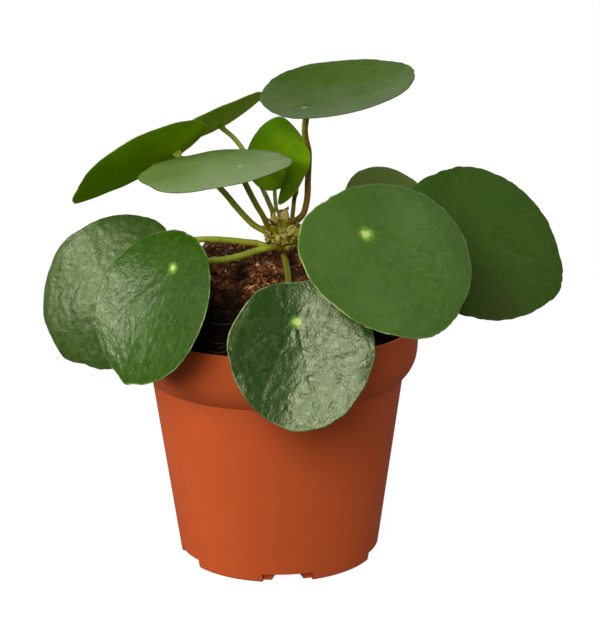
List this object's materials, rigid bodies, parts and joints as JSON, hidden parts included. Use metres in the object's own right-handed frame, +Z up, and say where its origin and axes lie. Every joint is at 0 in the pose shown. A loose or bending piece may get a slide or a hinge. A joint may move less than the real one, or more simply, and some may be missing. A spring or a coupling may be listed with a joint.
{
  "type": "potted chinese money plant",
  "caption": "Young Pilea peperomioides with round peltate leaves on long petioles, growing from a mounded root ball in a tapered terracotta-coloured plastic nursery pot.",
  "frame": {"origin": "middle of the pot's flat base, on the surface it stands on", "axes": "+Z up along the pot's axis, -Y towards the front of the plant as it is shown, +X to the right"},
  "size_m": [0.1959, 0.1477, 0.1825],
  "materials": {
    "terracotta_plastic": "satin injection-moulded plastic",
    "potting_soil": "damp peat and coir with bark chips, matt",
    "leaf": "smooth semi-gloss leaf, finely pebbled",
    "young_leaf": "smooth satin young leaf",
    "petiole": "smooth satin stalk",
    "stem": "matt, scarred",
    "dry_stipule": "matt, papery"
  },
  "bodies": {
    "root": {"pot": "terracotta_plastic", "soil": "potting_soil", "stem": "stem", "terminal_bud": "stem", "stipule_1": "dry_stipule", "stipule_2": "dry_stipule", "stipule_3": "dry_stipule", "stipule_4": "dry_stipule", "leaf_01": "leaf", "leaf_02": "leaf", "leaf_03": "leaf", "leaf_04": "leaf", "leaf_05": "young_leaf", "leaf_06": "young_leaf", "leaf_07": "leaf", "leaf_08": "leaf", "leaf_09": "leaf", "leaf_10": "leaf", "leaf_11": "leaf", "leaf_12": "leaf", "petiole_01": "petiole", "petiole_02": "petiole", "petiole_03": "petiole", "petiole_04": "petiole", "petiole_05": "petiole", "petiole_06": "petiole", "petiole_07": "petiole", "petiole_08": "petiole", "petiole_09": "petiole", "petiole_10": "petiole", "petiole_11": "petiole", "petiole_12": "petiole"}
  },
  "joints": []
}
